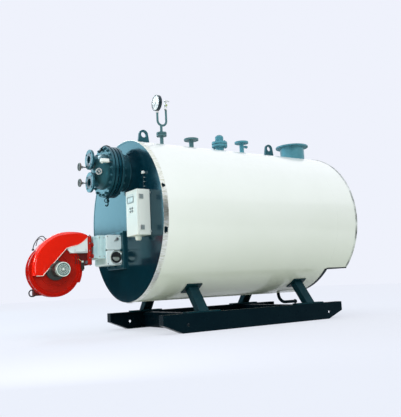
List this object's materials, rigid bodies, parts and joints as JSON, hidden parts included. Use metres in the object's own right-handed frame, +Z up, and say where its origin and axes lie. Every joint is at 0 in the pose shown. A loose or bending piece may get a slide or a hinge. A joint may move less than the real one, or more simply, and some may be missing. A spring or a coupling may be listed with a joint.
{
  "type": "industrial boiler",
  "caption": "Horizontal packaged boiler: clad drum on a steel skid, front heat exchanger, red forced-draught burner, control box, top nozzles and rear flue stub.",
  "frame": {"origin": "on the ground under the middle of the whole unit", "axes": "+X runs along the drum from the burner to the rear, +Y to the side away from the control box, +Z up"},
  "size_m": [3.2163, 1.5038, 2.3],
  "materials": {
    "teal_paint": "gloss",
    "cream_sheet": "gloss",
    "bare_steel": "satin",
    "polished_trim": "polished",
    "black_paint": "satin",
    "blue_paint": "gloss",
    "grey_casting": "satin",
    "red_gloss": "gloss",
    "dark_red": "gloss",
    "light_grey": "satin",
    "gauge_metal": "polished",
    "brass": "satin"
  },
  "bodies": {
    "root": {"front_plate": "teal_paint", "shell_cladding": "cream_sheet", "pressure_drum": "bare_steel", "drum_end": "teal_paint", "front_trim": "polished_trim", "smokebox_cladding": "cream_sheet", "smokebox_floor": "black_paint", "smokebox_rear_plate": "cream_sheet", "smokebox_cover": "teal_paint", "rear_trim": "black_paint", "exchanger_shell": "teal_paint", "exchanger_tube_sheet": "teal_paint", "exchanger_channel": "teal_paint", "exchanger_head": "teal_paint", "water_outlet": "teal_paint", "water_inlet": "teal_paint", "thermometers": "black_paint", "head_eye": "black_paint", "flow_switch": "light_grey", "burner_frame": "blue_paint", "burner_block": "polished_trim", "burner_neck": "grey_casting", "burner_collar": "grey_casting", "burner_flange": "red_gloss", "burner_body": "dark_red", "burner_scroll": "red_gloss", "burner_hood": "red_gloss", "burner_motor": "black_paint", "burner_side_panel": "grey_casting", "burner_intake": "red_gloss", "burner_switch": "black_paint", "control_box": "light_grey", "control_door": "light_grey", "plate_sensor": "light_grey", "lifting_lugs": "teal_paint", "gauge_siphon": "teal_paint", "pressure_gauge": "gauge_metal", "gauge_valve": "brass", "vent_nozzle": "teal_paint", "safety_valve": "teal_paint", "feed_nozzle": "teal_paint", "flue_stub": "teal_paint", "legs": "black_paint", "leg_plates": "black_paint", "skid_beams": "black_paint", "cross_members": "black_paint", "drain_pipe": "black_paint"}
  },
  "joints": []
}
